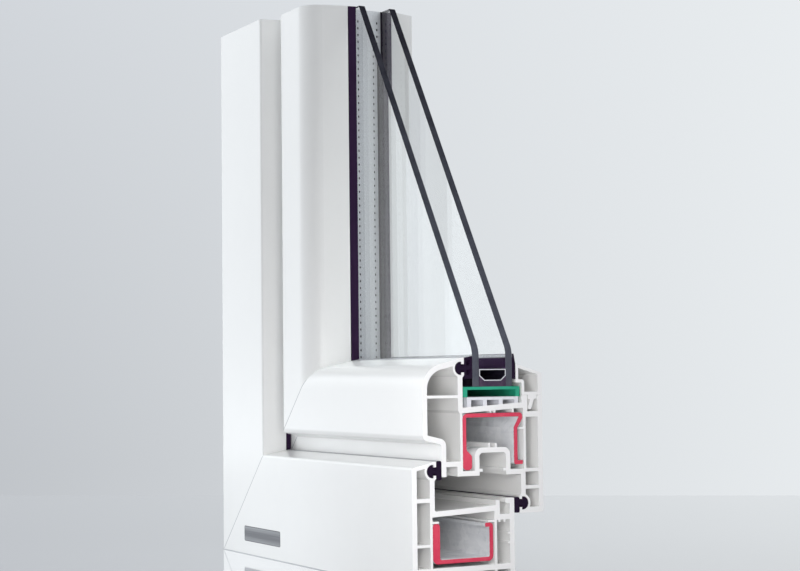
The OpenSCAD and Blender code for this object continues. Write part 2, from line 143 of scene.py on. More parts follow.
# Points that the lamps look at or hang at, and the lamps
MIDDLE = Vector((0.0, 0.0, 0.14))
CUT_END = Vector((SILL_END, 0.0, 0.06))
SILL_FACE = Vector((0.0, OUTDOOR_Y, 0.05))
SILL_FOOT = Vector((-0.05, OUTDOOR_Y, 0.02))
BEFORE_SILL = SILL_FOOT - Vector((0.0, 0.10, 0.0))
LAMPS = {
    "top_lamp": SoftLamp("top_power", (0.12, -0.10, 0.60), CUT_END, size=(0.4, 0.4), lights_table=True),
    "back_lamp": SoftLamp("back_power", (-0.5, 0.9, 1.0), MIDDLE, size=(1.0, 0.6), lights_table=True),
    "key_lamp": SoftLamp("key_power", (-0.88, -1.0, 0.75), MIDDLE, size=(0.9, 0.6), lights_table=True),
    "end_lamp": SoftLamp(
        "end_power", (0.285, -0.105, 0.077), CUT_END, size=(0.15, 0.15), colour="warm",
        through_glass=False),
    "front_lamp": SoftLamp(
        "front_power", (0.62, -0.30, 0.10), CUT_END, size=(0.3, 0.3), colour="warm",
        through_glass=False),
    "low_lamp": SoftLamp("low_power", (-0.42, -0.45, 0.06), SILL_FACE, size=(0.3, 0.1)),
    "sill_strip": SoftLamp("strip_power", BEFORE_SILL, SILL_FOOT, size=(0.2, 0.03)),
    "left_panel": SoftLamp(
        "panel_power", (-1.25, -0.62, 0.34), MIDDLE, size=(0.9, 0.84), in_reflections=True),
    "room_lamp": SoftLamp("fill_power", (0.35, 0.95, 1.15), MIDDLE, size=(0.8, 0.6)),
}


def colour_property(name, description, default):
    """A colour that the user can change."""
    return FloatVectorProperty(
        name=name, description=description, default=default, size=3, subtype="COLOR", min=0.0, max=1.0)


def length_property(name, description, default):
    """A length in metres that the user can change."""
    return FloatProperty(
        name=name, description=description, default=default, min=0.0, precision=5, subtype="DISTANCE",
        unit="LENGTH")


def place_property(name, description, default):
    """A point in the frame of the sample that the user can change."""
    return FloatVectorProperty(
        name=name, description=description, default=default, size=3, subtype="TRANSLATION", unit="LENGTH")


def angle_property(name, description, degrees):
    """An angle that the user can change."""
    return FloatProperty(
        name=name, description=description, default=math.radians(degrees), subtype="ANGLE", unit="ROTATION")


def power_property(name, description, default):
    """Power of a lamp that the user can change."""
    return FloatProperty(name=name, description=description, default=default, min=0.0, unit="POWER")


def share_property(name, description, default):
    """A share from 0 to 1 that the user can change."""
    return FloatProperty(
        name=name, description=description, default=default, min=0.0, max=1.0, subtype="FACTOR")


class PvcFinish(bpy.types.PropertyGroup):
    """White PVC of frame, sash and beads."""

    colour: colour_property("PVC", "Colour of the moulded skin", (0.91, 0.91, 0.90))
    shade: colour_property("PVC shade", "Colour where the skin is a little duller", (0.895, 0.895, 0.885))
    cut: colour_property("Sawn PVC", "Colour of the sawn ends", (0.90, 0.90, 0.90))
    weld: colour_property("Weld", "Colour of the weld line at the mitres", (0.40, 0.41, 0.43))
    # Painted contact shadow: a grey line along the bottom edge, where the sample stands on the table
    foot: colour_property("Foot line", "Colour of the dusty edge that it stands on", (0.46, 0.47, 0.49))
    gloss: share_property("Roughness", "Roughness of the moulded skin", 0.2)
    cut_gloss: share_property("Sawn roughness", "Roughness of the sawn ends", 0.55)
    shine: share_property("Shine", "How strongly the moulded skin mirrors", 0.7)
    line_pitch: length_property("Line pitch", "Distance between the faint die lines", 0.004)
    saw_pitch: length_property("Saw pitch", "Distance between the saw marks", 0.0007)
    weld_width: length_property("Weld width", "Half width of the weld line", 0.0003)
    # Height of the painted contact shadow along the bottom edge
    foot_shade_height: length_property("Foot line height", "Height of the dusty edge", 0.0005)


class SteelFinish(bpy.types.PropertyGroup):
    """Galvanised steel cores with painted ends."""

    bright: colour_property("Bright zinc", "Colour of the bright zinc flowers", (0.96, 0.97, 0.985))
    dull: colour_property("Dull zinc", "Colour of the dull zinc flowers", (0.72, 0.74, 0.77))
    paint: colour_property("End paint", "Colour of the paint on the sawn ends", (0.62, 0.030, 0.085))
    paint_thin: colour_property("Thin paint", "Colour where the paint is thin", (0.70, 0.075, 0.125))
    paint_gloss: share_property("Paint roughness", "Roughness of the end paint", 0.34)
    flower: length_property("Zinc flower", "Size of the zinc flowers", 0.0035)
    paint_reach: length_property("Paint reach", "How far the paint runs over the edge", 0.0005)
    metal: share_property("Metal", "How metallic the zinc skin is", 0.1)


class SealFinish(bpy.types.PropertyGroup):
    """Dark rubber of the seals and the sealant behind the spacer."""

    rubber: colour_property("Rubber", "Colour of the seals", (0.024, 0.009, 0.036))
    bloom: colour_property("Rubber bloom", "Colour of the dusty bloom on the seals", (0.042, 0.018, 0.054))
    cut: colour_property("Cut rubber", "Colour of the cut ends of the seals", (0.016, 0.008, 0.023))
    # Colour and height of a lighter grey strip along the top edge of a lying seal
    dust: colour_property("Seal dust", "Colour of the dust on top of a lying seal", (0.36, 0.36, 0.38))
    top_band_height: length_property("Dust height", "Height of the dust on a lying seal", 0.0009)
    sealant: colour_property("Sealant", "Colour of the edge sealant", (0.075, 0.05, 0.085))
    gloss: share_property("Rubber roughness", "Roughness of the seals", 0.45)
    cut_gloss: share_property("Cut roughness", "Roughness of the cut ends of the seals", 0.7)
    shine: share_property("Rubber shine", "How strongly the seals mirror", 0.12)


class GlazingFinish(bpy.types.PropertyGroup):
    """Panes, their cut edges and the spacer bars."""

    tint: colour_property("Glass", "Tint of the clear glass", (0.965, 0.975, 0.972))
    shine: share_property("Glass shine", "How strongly the panes mirror", 0.11)
    edge: colour_property("Glass edge", "Colour of the cut edges of the panes", (0.010, 0.009, 0.016))
    edge_dust: colour_property("Edge dust", "Colour of the dusty foot of a cut edge", (0.100, 0.106, 0.132))
    edge_shine: share_property("Glass edge shine", "How strongly the cut edges mirror", 0.06)
    metal: colour_property("Spacer", "Colour of the spacer bars", (0.80, 0.82, 0.85))
    # Painted shade: the inner walls of the spacer bars are near black, standing in for the shade deep
    # within the bar
    hollow_shade: colour_property("Spacer inside", "Colour inside the spacer bars", (0.006, 0.005, 0.010))
    arris: length_property("Arris", "Width of the ground edge of a pane", 0.0003)
    butyl: colour_property("Butyl", "Colour of the butyl beside the spacer bars", (0.016, 0.012, 0.020))
    butyl_width: length_property("Butyl width", "Width of the butyl that laps onto a spacer", 0.0007)
    pin_pitch: length_property("Pin hole pitch", "Distance between the pin holes of a spacer", 0.004)
    pin_length: length_property("Pin hole length", "Length of a pin hole", 0.0016)
    pin_width: length_property("Pin hole width", "Width of a pin hole", 0.0010)
    pin_height: length_property("Pin height", "Height of the pin that cuts a hole", 0.0016)
    pin_margin: length_property("Pin hole margin", "From the side of a spacer to its pin holes", 0.0030)
    pin_sides: IntProperty(name="Pin hole sides", description="Sides of a pin hole", default=8, min=4)


class PackerFinish(bpy.types.PropertyGroup):
    """Moulded packers under the glass."""

    green: colour_property("Setting block", "Colour of the setting block", (0.030, 0.40, 0.245))
    green_deep: colour_property("Setting block shade", "Deeper shade of the block", (0.020, 0.31, 0.19))
    green_gloss: share_property("Setting block roughness", "Roughness of the block", 0.42)
    pale: colour_property("Bridge", "Colour of the bridge packer", (0.80, 0.81, 0.85))
    pale_deep: colour_property("Bridge shade", "Deeper shade of the bridge", (0.70, 0.71, 0.76))
    pale_gloss: share_property("Bridge roughness", "Roughness of the bridge", 0.45)


class LabelFinish(bpy.types.PropertyGroup):
    """Blank metal label on the outdoor face of the sill."""

    place: place_property(
        "Label place", "Middle of the label on the outdoor face", (CORNER_X + 0.058, OUTDOOR_Y, 0.0125))
    length: length_property("Label length", "Length along the sill", 0.051)
    height: length_property("Label height", "Height of the label", 0.009)
    thickness: length_property("Label thickness", "Thickness of the foil", 0.0001)
    turn: length_property("Label corner", "Radius of the corners", 0.0009)
    rim: length_property("Label rim", "Width of the pressed rim", 0.0004)
    # Painted reflection: the foil is lighter near its top and bottom and darker along its middle; the rim
    # and the cut edge get a darker colour as a painted shadow line
    silver: colour_property("Label silver", "Colour of the foil near its rim", (0.50, 0.51, 0.525))
    silver_painted_shade: colour_property("Label shade", "Colour of the foil in its middle", (0.25, 0.255, 0.27))
    edge: colour_property("Label edge", "Colour of the cut edge of the foil", (0.20, 0.205, 0.215))
    metal: share_property("Label metal", "How metallic the foil is", 0.7)


class StudioSetup(bpy.types.PropertyGroup):
    """Camera, table, backdrop and soft lamps."""

    eye: place_property("Camera place", "Where the camera stands", (0.8529, -0.4477, 0.1062))
    yaw: angle_property("Camera yaw", "Direction of view, turned from +X", 151.18)
    pitch: angle_property("Camera pitch", "Upward tilt of the camera", 3.06)
    roll: angle_property("Camera roll", "Sideways tilt of the camera", -0.633)
    lens: FloatProperty(name="Lens", description="Focal length in millimetres", default=75.72, min=1.0)
    table_edge: place_property("Table edge", "Middle of the far table edge", (-0.4634, 0.2742, 0.0))
    table_turn: angle_property("Table turn", "Direction of the far table edge, from +X", 52.34)
    table_width: length_property("Table width", "Length of the far table edge", 5.0)
    table_depth: length_property("Table depth", "From the far edge towards the camera", 4.0)
    table_thickness: length_property("Table thickness", "Thickness of the table top", 0.03)
    table_round: length_property("Table rounding", "Rounding of the table's edges", 0.002)
    table: colour_property("Table", "Colour of the table top", (0.475, 0.485, 0.515))
    table_polish: share_property("Table polish", "Roughness of the clear coat on the table", 0.04)
    back_dark: colour_property("Backdrop shade", "Backdrop low on the dim side", (0.494, 0.517, 0.549))
    back_high: colour_property("Backdrop top", "Backdrop high on the dim side", (0.654, 0.685, 0.727))
    back_light: colour_property("Backdrop light", "Backdrop on the lit side", (0.836, 0.868, 0.888))
    room: colour_property("Room", "Dim light that the room sends from all sides", (0.15, 0.155, 0.16))
    end_power: power_property("End lamp", "Power of the small lamp before the cut end", 0.34)
    front_power: power_property("Front lamp", "Power of the lamp beside the camera", 0.4)
    key_power: power_property("Key lamp", "Power of the lamp on the outdoor side", 7.6)
    low_power: power_property("Low lamp", "Power of the low lamp on the outdoor side", 0.62)
    strip_power: power_property("Strip lamp", "Power of the strip lamp before the sill", 0.05)
    top_power: power_property("Top lamp", "Power of the overhead lamp", 0.8)
    back_power: power_property("Back lamp", "Power of the lamp on the room side", 3.4)
    panel_power: power_property("Panel", "Power of the panel that the outdoor faces mirror", 2.7)
    fill_power: power_property("Room lamp", "Power of the lamp that fills the room side", 8.0)
    cool: colour_property("Cool light", "Colour of most lamps", (0.94, 0.975, 1.0))
    warm: colour_property("Warm light", "Colour of the lamps before the cut end", (1.0, 0.985, 0.985))


# Small helpers for node trees
VALUE = "NodeSocketFloat"
VECTOR = "NodeSocketVector"


def set_inputs(tree, node, inputs):
    """Set the inputs of a node, or link them where a socket is given."""
    for name, value in inputs.items():
        if isinstance(value, bpy.types.NodeSocket):
            tree.links.new(value, node.inputs[name])
        else:
            node.inputs[name].default_value = value


def put(tree, kind, inputs, **options):
    """Add a node, set its options, and set or link its inputs."""
    node = tree.nodes.new(kind)
    for option, setting in options.items():
        setattr(node, option, setting)
    set_inputs(tree, node, inputs)
    return node


def rgba(colour):
    """A colour with full cover, or the socket that gives one."""
    return colour if isinstance(colour, bpy.types.NodeSocket) else (*colour, 1.0)


def scaled(colour, share):
    """A colour made deeper or lighter."""
    return [share * channel for channel in colour]


def maths(tree, operation, first, second=0.0):
    """Result of one sum on two values."""
    return put(tree, "ShaderNodeMath", {0: first, 1: second}, operation=operation).outputs[0]


def clamp(tree, value):
    """A value held between 0 and 1."""
    return put(tree, "ShaderNodeMath", {0: value, 1: 0.0}, operation="ADD", use_clamp=True).outputs[0]


def mix_colours(tree, share, first, second):
    """Colour between two colours."""
    inputs = {0: share, 6: rgba(first), 7: rgba(second)}
    return put(tree, "ShaderNodeMix", inputs, data_type="RGBA").outputs[2]


def mix_values(tree, share, first, second):
    """Value between two values."""
    return put(tree, "ShaderNodeMix", {0: share, 2: first, 3: second}, data_type="FLOAT").outputs[0]


def stretch(tree, value, low, high, from_low=0.0, from_high=1.0):
    """A value moved from one range to another, and held there."""
    inputs = {"Value": value, "From Min": from_low, "From Max": from_high, "To Min": low, "To Max": high}
    return put(tree, "ShaderNodeMapRange", inputs).outputs["Result"]


def noise(tree, vector, scale, detail=2.0):
    """Soft noise from 0 to 1, with so many features in a metre."""
    inputs = {"Vector": vector, "Scale": scale, "Detail": detail}
    return put(tree, "ShaderNodeTexNoise", inputs).outputs["Fac"]


def part(tree, vector, axis):
    """One part of a vector."""
    return put(tree, "ShaderNodeSeparateXYZ", {0: vector}).outputs[axis]


def object_place(tree):
    """Place on the piece, in metres."""
    return tree.nodes.new("ShaderNodeTexCoord").outputs["Object"]


def facing_across(tree):
    """Where a flat face looks outdoors or into the room."""
    across = part(tree, tree.nodes.new("ShaderNodeTexCoord").outputs["Normal"], "Y")
    return stretch(tree, maths(tree, "ABSOLUTE", across), 0.0, 1.0, from_low=0.9, from_high=0.98)


def raise_surface(tree, shader, height, depth):
    """Lay a relief of the given depth on a shader."""
    relief = put(tree, "ShaderNodeBump", {"Height": height, "Distance": depth, "Strength": 1.0})
    tree.links.new(relief.outputs["Normal"], shader.inputs["Normal"])


def start_material(name):
    """New material, its tree and its shader."""
    material = bpy.data.materials.new(name)
    material.use_nodes = True
    tree = material.node_tree
    return material, tree, tree.nodes["Principled BSDF"]


def start_group(name, inputs, outputs):
    """New shader node group with named sockets, with the nodes where it starts and ends."""
    tree = bpy.data.node_groups.new(name, "ShaderNodeTree")
    for socket, kind in inputs.items():
        tree.interface.new_socket(socket, in_out="INPUT", socket_type=kind)
    for socket, kind in outputs.items():
        tree.interface.new_socket(socket, in_out="OUTPUT", socket_type=kind)
    return tree, tree.nodes.new("NodeGroupInput").outputs, tree.nodes.new("NodeGroupOutput").inputs


def use_group(tree, name, inputs):
    """Place a node group in a material."""
    return put(tree, "ShaderNodeGroup", inputs, node_tree=bpy.data.node_groups[name]).outputs


# Effects that several finishes share
def drawn_lines_group():
    """Faint lines that a die or a roller leaves along a length."""
    tree, given, result = start_group(
        "drawn_lines", {"Vector": VECTOR, "Along": VECTOR, "Pitch": VALUE}, {"Lines": VALUE})
    squeezed = put(
        tree, "ShaderNodeVectorMath", {0: given["Vector"], 1: given["Along"]}, operation="MULTIPLY")
    fine = noise(tree, squeezed.outputs[0], maths(tree, "DIVIDE", 1.0, given["Pitch"]), detail=3.0)
    tree.links.new(fine, result["Lines"])


def sawn_end_group():
    """Where a length is sawn off, and the marks that the saw leaves there."""
    tree, given, result = start_group(
        "sawn_end", {"Vector": VECTOR, "End X": VALUE, "Top Z": VALUE, "Pitch": VALUE},
        {"Mask": VALUE, "Marks": VALUE})
    sill_cut = maths(tree, "GREATER_THAN", part(tree, given["Vector"], "X"), given["End X"])
    jamb_cut = maths(tree, "GREATER_THAN", part(tree, given["Vector"], "Z"), given["Top Z"])
    tree.links.new(maths(tree, "MAXIMUM", sill_cut, jamb_cut), result["Mask"])
    bands = maths(tree, "DIVIDE", WAVE_LENGTH, given["Pitch"])
    marks = put(
        tree, "ShaderNodeTexWave",
        {"Vector": given["Vector"], "Scale": bands, "Distortion": 2.5, "Detail": 2.0, "Detail Scale": 0.4},
        bands_direction="DIAGONAL")
    tree.links.new(marks.outputs["Fac"], result["Marks"])


def weld_line_group():
    """Thin line where two lengths are welded at the mitre."""
    tree, given, result = start_group(
        "weld_line", {"Vector": VECTOR, "Corner X": VALUE, "Width": VALUE}, {"Mask": VALUE})
    along = maths(tree, "SUBTRACT", part(tree, given["Vector"], "X"), given["Corner X"])
    apart = maths(tree, "SUBTRACT", along, part(tree, given["Vector"], "Z"))
    share = maths(tree, "DIVIDE", maths(tree, "ABSOLUTE", apart), given["Width"])
    tree.links.new(clamp(tree, maths(tree, "SUBTRACT", WELD_FADE, share)), result["Mask"])


def cloud_group():
    """Slow and quick unevenness over a surface."""
    tree, given, result = start_group("cloud", {"Vector": VECTOR, "Size": VALUE}, {"Cloud": VALUE})
    slow = noise(tree, given["Vector"], maths(tree, "DIVIDE", 1.0, given["Size"]), detail=2.0)
    quick = noise(tree, given["Vector"], maths(tree, "DIVIDE", 6.0, given["Size"]), detail=3.0)
    both = maths(tree, "ADD", maths(tree, "MULTIPLY", slow, 0.65), maths(tree, "MULTIPLY", quick, 0.35))
    tree.links.new(stretch(tree, both, 0.0, 1.0, from_low=0.32, from_high=0.68), result["Cloud"])


def moulding_group():
    """Fine pebbled skin of a moulded piece."""
    tree, given, result = start_group("moulding", {"Vector": VECTOR, "Grain": VALUE}, {"Pebbles": VALUE})
    scale = maths(tree, "DIVIDE", 1.0, given["Grain"])
    cells = put(
        tree, "ShaderNodeTexVoronoi", {"Vector": given["Vector"], "Scale": scale}, feature="SMOOTH_F1")
    tree.links.new(cells.outputs["Distance"], result["Pebbles"])


def build_groups():
    """Make every shared effect once."""
    for make in (drawn_lines_group, sawn_end_group, weld_line_group, cloud_group, moulding_group):
        make()


def lay_lines(tree, place, along, pitch):
    """Die lines or rolling streaks along a length."""
    return use_group(tree, "drawn_lines", {"Vector": place, "Along": along, "Pitch": pitch})["Lines"]


def by_lines(tree, lines, low, high):
    """A value that follows the drawn lines."""
    return stretch(tree, lines, low, high, from_low=NOISE_LOW, from_high=NOISE_HIGH)


def lay_cloud(tree, place, size):
    """Patches of about the given size."""
    return use_group(tree, "cloud", {"Vector": place, "Size": size})["Cloud"]


def lay_pebbles(tree, place, grain):
    """Pebbled skin of the given grain."""
    return use_group(tree, "moulding", {"Vector": place, "Grain": grain})["Pebbles"]


def lay_ends(tree, place):
    """Sawn ends of the sample, seen on any length."""
    return use_group(tree, "sawn_end", {
        "Vector": place, "End X": SILL_END - CUT_SKIN, "Top Z": JAMB_TOP - CUT_SKIN,
        "Pitch": bpy.context.scene.window_pvc.saw_pitch})


# Finishes
def white_pvc(way):
    """Satin white PVC with faint die lines, sawn ends, a weld line at the mitre and a painted contact
    shadow at the foot.
    """
    looks = bpy.context.scene.window_pvc
    material, tree, shader = start_material(f"white_pvc_{way}")
    place = object_place(tree)
    lines = lay_lines(tree, place, DRAWN[way], looks.line_pitch)
    end = lay_ends(tree, place)
    seam = use_group(tree, "weld_line", {"Vector": place, "Corner X": CORNER_X, "Width": looks.weld_width})
    weld = maths(tree, "MULTIPLY", seam["Mask"], facing_across(tree))
    skin = mix_colours(tree, lay_cloud(tree, place, size=0.05), looks.colour, looks.shade)
    sawn = mix_colours(tree, end["Mask"], skin, looks.cut)
    # Painted contact shadow: the skin turns grey in its lowest half millimetre, where the sample stands on
    # the table
    foot = stretch(tree, part(tree, place, "Z"), 1.0, 0.0, looks.foot_shade_height / 2, looks.foot_shade_height)
    foot_shaded = mix_colours(tree, foot, sawn, looks.foot)
    satin = by_lines(tree, lines, looks.gloss - 0.01, looks.gloss + 0.01)
    marks = maths(tree, "MULTIPLY", end["Marks"], maths(tree, "MULTIPLY", end["Mask"], SAW_SHARE))
    ridges = maths(tree, "ADD", maths(tree, "MULTIPLY", lines, LINE_SHARE), marks)
    relief = maths(tree, "SUBTRACT", ridges, maths(tree, "MULTIPLY", weld, WELD_SHARE))
    set_inputs(tree, shader, {
        "Base Color": mix_colours(tree, weld, foot_shaded, looks.weld),
        "Roughness": mix_values(tree, end["Mask"], satin, looks.cut_gloss),
        "Specular IOR Level": looks.shine})
    raise_surface(tree, shader, relief, depth=0.0001)
    return material


def zinc_steel(way):
    """Galvanised steel with zinc flowers, rolling streaks and painted ends."""
    looks = bpy.context.scene.window_steel
    material, tree, shader = start_material(f"zinc_steel_{way}")
    place = object_place(tree)
    streaks = by_lines(tree, lay_lines(tree, place, ROLLED[way], pitch=0.0025), 0.0, ZINC_SHARE)
    flowers = put(tree, "ShaderNodeTexVoronoi", {"Vector": place, "Scale": 1.0 / looks.flower})
    blotches = lay_cloud(tree, place, size=0.012)
    uneven = maths(tree, "ADD", part(tree, flowers.outputs["Color"], "X"), blotches)
    patch = maths(tree, "ADD", maths(tree, "MULTIPLY", uneven, ZINC_SHARE), streaks)
    zinc = mix_colours(tree, clamp(tree, patch), looks.dull, looks.bright)
    ragged = maths(tree, "MULTIPLY", noise(tree, place, scale=900.0), looks.paint_reach)
    outwards = put(tree, "ShaderNodeCombineXYZ", {0: ragged, 2: ragged}).outputs[0]
    shifted = put(tree, "ShaderNodeVectorMath", {0: place, 1: outwards}).outputs[0]
    painted = lay_ends(tree, shifted)["Mask"]
    paint = mix_colours(tree, blotches, looks.paint, looks.paint_thin)
    bare = stretch(tree, patch, low=0.5, high=0.36)
    set_inputs(tree, shader, {
        "Base Color": mix_colours(tree, painted, zinc, paint),
        "Metallic": stretch(tree, painted, looks.metal, 0.0),
        "Roughness": mix_values(tree, painted, bare, looks.paint_gloss)})
    raise_surface(tree, shader, maths(tree, "ADD", patch, noise(tree, place, scale=1500.0)), depth=0.00003)
    return material


def top_edge_band(tree, place, reach):
    """Where a lighter grey strip runs along the top edges of the lying seals on the outdoor side."""
    edges = []
    for node in ("frame_seal_sill", "glazing_seal_rail"):
        below = maths(tree, "SUBTRACT", part(tree, place, "Z"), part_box(node)[1].z)
        edges.append(stretch(tree, maths(tree, "ABSOLUTE", below), 1.0, 0.0, reach * 0.7, reach))
    return maths(tree, "MAXIMUM", *edges)


def seal_rubber(way):
    """Dark rubber with fine die lines, a little bloom, and, on lying seals, a lighter grey strip along the
    top edges.
    """
    looks = bpy.context.scene.window_seal
    material, tree, shader = start_material(f"seal_rubber_{way}")
    place = object_place(tree)
    lines = lay_lines(tree, place, DRAWN[way], pitch=0.0008)
    end = lay_ends(tree, place)["Mask"]
    bloom = maths(tree, "MULTIPLY", lay_cloud(tree, place, size=0.02), by_lines(tree, lines, 0.1, 0.8))
    skin = mix_colours(tree, bloom, looks.rubber, looks.bloom)
    # A lighter grey strip along the top edges of the lying seals
    if way == "lying":
        skin = mix_colours(tree, top_edge_band(tree, place, looks.top_band_height), skin, looks.dust)
    satin = by_lines(tree, lines, looks.gloss - 0.08, looks.gloss + 0.12)
    set_inputs(tree, shader, {
        "Base Color": mix_colours(tree, end, skin, looks.cut),
        "Roughness": mix_values(tree, end, satin, looks.cut_gloss),
        "Specular IOR Level": looks.shine})
    raise_surface(tree, shader, lines, depth=0.00003)
    return material


def edge_sealant():
    """Uneven rubbery sealant behind the spacer."""
    looks = bpy.context.scene.window_seal
    material, tree, shader = start_material("edge_sealant")
    lumps = lay_cloud(tree, object_place(tree), size=0.004)
    set_inputs(tree, shader, {
        "Base Color": mix_colours(tree, lumps, looks.rubber, looks.sealant),
        "Roughness": stretch(tree, lumps, low=0.45, high=0.7)})
    raise_surface(tree, shader, lumps, depth=0.0002)
    return material


def clear_glass():
    """Clear float glass with faint wipe marks, which lets lamp light through."""
    looks = bpy.context.scene.window_glazing
    material, tree, shader = start_material("clear_glass")
    wipes = lay_cloud(tree, object_place(tree), size=0.06)
    set_inputs(tree, shader, {
        "Base Color": mix_colours(tree, wipes, looks.tint, scaled(looks.tint, 0.99)),
        "Roughness": 0.0,
        "IOR": GLASS_IOR,
        "Transmission Weight": 1.0,
        "Specular IOR Level": looks.shine})
    through = put(tree, "ShaderNodeBsdfTransparent", {"Color": rgba(looks.tint)})
    lamp_ray = tree.nodes.new("ShaderNodeLightPath").outputs["Is Shadow Ray"]
    both = put(tree, "ShaderNodeMixShader", {0: lamp_ray, 1: shader.outputs[0], 2: through.outputs[0]})
    tree.links.new(both.outputs[0], tree.nodes["Material Output"].inputs["Surface"])
    return material


def glass_edge():
    """Dark cut edge of a pane, with small flecks and a dusty foot."""
    looks = bpy.context.scene.window_glazing
    material, tree, shader = start_material("glass_edge")
    place = object_place(tree)
    flecks = lay_cloud(tree, place, size=0.008)
    foot = stretch(tree, part(tree, place, "Z"), 0.85, 0.0, PANE_FOOT, JAMB_TOP)
    dust = clamp(tree, maths(tree, "ADD", foot, stretch(tree, flecks, low=-0.15, high=0.15)))
    set_inputs(tree, shader, {
        "Base Color": mix_colours(tree, dust, looks.edge, looks.edge_dust),
        "Roughness": stretch(tree, flecks, low=0.35, high=0.5),
        "Specular IOR Level": looks.edge_shine})
    raise_surface(tree, shader, noise(tree, place, scale=1200.0), depth=0.00002)
    return material


def spacer_metal(way):
    """Rolled aluminium of the spacer bars, with butyl lapped onto its sides."""
    looks = bpy.context.scene.window_glazing
    material, tree, shader = start_material(f"spacer_metal_{way}")
    place = object_place(tree)
    lines = lay_lines(tree, place, DRAWN[way], pitch=0.0006)
    grain = noise(tree, place, scale=900.0)
    shade = stretch(tree, maths(tree, "MULTIPLY", lines, grain), 0.0, 1.0, from_low=0.1, from_high=0.4)
    bare = mix_colours(tree, shade, scaled(looks.metal, 0.86), looks.metal)
    low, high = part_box("spacer_stile")
    from_middle = maths(tree, "SUBTRACT", part(tree, place, "Y"), (low.y + high.y) / 2)
    sight_line = (high.y - low.y) / 2 - looks.butyl_width
    beside = maths(tree, "GREATER_THAN", maths(tree, "ABSOLUTE", from_middle), sight_line)
    not_sawn = maths(tree, "SUBTRACT", 1.0, lay_ends(tree, place)["Mask"])
    lapped = maths(tree, "MULTIPLY", beside, not_sawn)
    set_inputs(tree, shader, {
        "Base Color": mix_colours(tree, lapped, bare, looks.butyl),
        "Metallic": stretch(tree, lapped, low=0.6, high=0.0),
        "Roughness": by_lines(tree, lines, low=0.34, high=0.5)})
    raise_surface(tree, shader, maths(tree, "ADD", lines, grain), depth=0.00002)
    return material


def spacer_hollow():
    """Pebbled inner walls of a spacer bar, painted near black as the shade deep within the bar."""
    looks = bpy.context.scene.window_glazing
    material, tree, shader = start_material("spacer_hollow")
    pebbles = lay_pebbles(tree, object_place(tree), grain=0.0009)
    set_inputs(tree, shader, {
        "Base Color": mix_colours(tree, pebbles, looks.hollow_shade, scaled(looks.hollow_shade, 3.0)),
        "Roughness": 0.8})
    raise_surface(tree, shader, pebbles, depth=0.0001)
    return material


def moulded_plastic(name, colour, deep, roughness):
    """Moulded packer plastic with a fine skin."""
    material, tree, shader = start_material(name)
    place = object_place(tree)
    blotches = lay_cloud(tree, place, size=0.015)
    set_inputs(tree, shader, {
        "Base Color": mix_colours(tree, blotches, colour, deep),
        "Roughness": stretch(tree, blotches, roughness - 0.06, roughness + 0.08)})
    raise_surface(tree, shader, lay_pebbles(tree, place, grain=0.0008), depth=0.00003)
    return material


def brushed_foil(name, light, deep):
    """Brushed foil of the blank label, with a painted reflection: darker along its middle, lighter towards
    its top and bottom.
    """
    looks = bpy.context.scene.window_label
    material, tree, shader = start_material(name)
    place = object_place(tree)
    lines = lay_lines(tree, place, DRAWN["lying"], pitch=0.0004)
    # Painted reflection: the foil is darker along its middle and lighter towards its top and bottom
    above = maths(tree, "SUBTRACT", part(tree, place, "Z"), looks.place[2])
    off_middle = maths(tree, "ABSOLUTE", above)
    reflection_band = stretch(tree, off_middle, 0.0, 0.9, from_low=looks.height / 10, from_high=looks.height / 2)
    share = clamp(tree, maths(tree, "ADD", reflection_band, by_lines(tree, lines, low=-0.2, high=0.2)))
    set_inputs(tree, shader, {
        "Base Color": mix_colours(tree, share, deep, light),
        "Metallic": looks.metal,
        "Roughness": stretch(tree, share, low=0.45, high=0.34)})
    raise_surface(tree, shader, lines, depth=0.00001)
    return material


def table_top():
    """Glossy pale table top."""
    looks = bpy.context.scene.window_studio
    material, tree, shader = start_material("table_top")
    blotches = lay_cloud(tree, object_place(tree), size=0.4)
    set_inputs(tree, shader, {
        "Base Color": mix_colours(tree, blotches, looks.table, scaled(looks.table, 0.97)),
        "Roughness": stretch(tree, blotches, low=0.05, high=0.07),
        "Coat Weight": 1.0,
        "Coat Roughness": looks.table_polish})
    return material


# Modelling helpers
def select_only(obj):
    """Make one object the only selected and active one."""
    bpy.ops.object.select_all(action="DESELECT")
    obj.select_set(True)
    bpy.context.view_layer.objects.active = obj


def run_in_edit_mode(commands):
    """Run edit-mode commands on the active mesh."""
    bpy.ops.object.mode_set(mode="EDIT")
    for command, settings in commands:
        command(**settings)
    bpy.ops.object.mode_set(mode="OBJECT")


def solid_copy(node, name):
    """Copy of a CAD node as one closed mesh with plain faces."""
    select_only(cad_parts[node])
    bpy.ops.object.duplicate()
    copy = bpy.context.view_layer.objects.active
    copy.name = name
    copy.data.name = name
    select_only(copy)
    bpy.ops.mesh.customdata_custom_splitnormals_clear()
    run_in_edit_mode([
        (bpy.ops.mesh.select_mode, {"type": "VERT"}),
        (bpy.ops.mesh.select_all, {"action": "SELECT"}),
        (bpy.ops.mesh.remove_doubles, {"threshold": MERGE_DISTANCE}),
        (bpy.ops.mesh.dissolve_limited, {"angle_limit": FLAT_ANGLE}),
        (bpy.ops.mesh.select_all, {"action": "DESELECT"}),
    ])
    return copy


def apply_modifier(obj, kind, **settings):
    """Add a modifier and apply it."""
    select_only(obj)
    modifier = obj.modifiers.new(kind.lower(), kind)
    for option, setting in settings.items():
        setattr(modifier, option, setting)
    bpy.ops.object.modifier_apply(modifier=modifier.name)


def repeat(obj, count, step):
    """Copies of a mesh in a row, joined with it."""
    apply_modifier(
        obj, "ARRAY", count=count, use_relative_offset=False, use_constant_offset=True,
        constant_offset_displace=step)


def set_materials(obj, *materials):
    """Give an object these materials, in order."""
    obj.data.materials.clear()
    for material in materials:
        obj.data.materials.append(material)


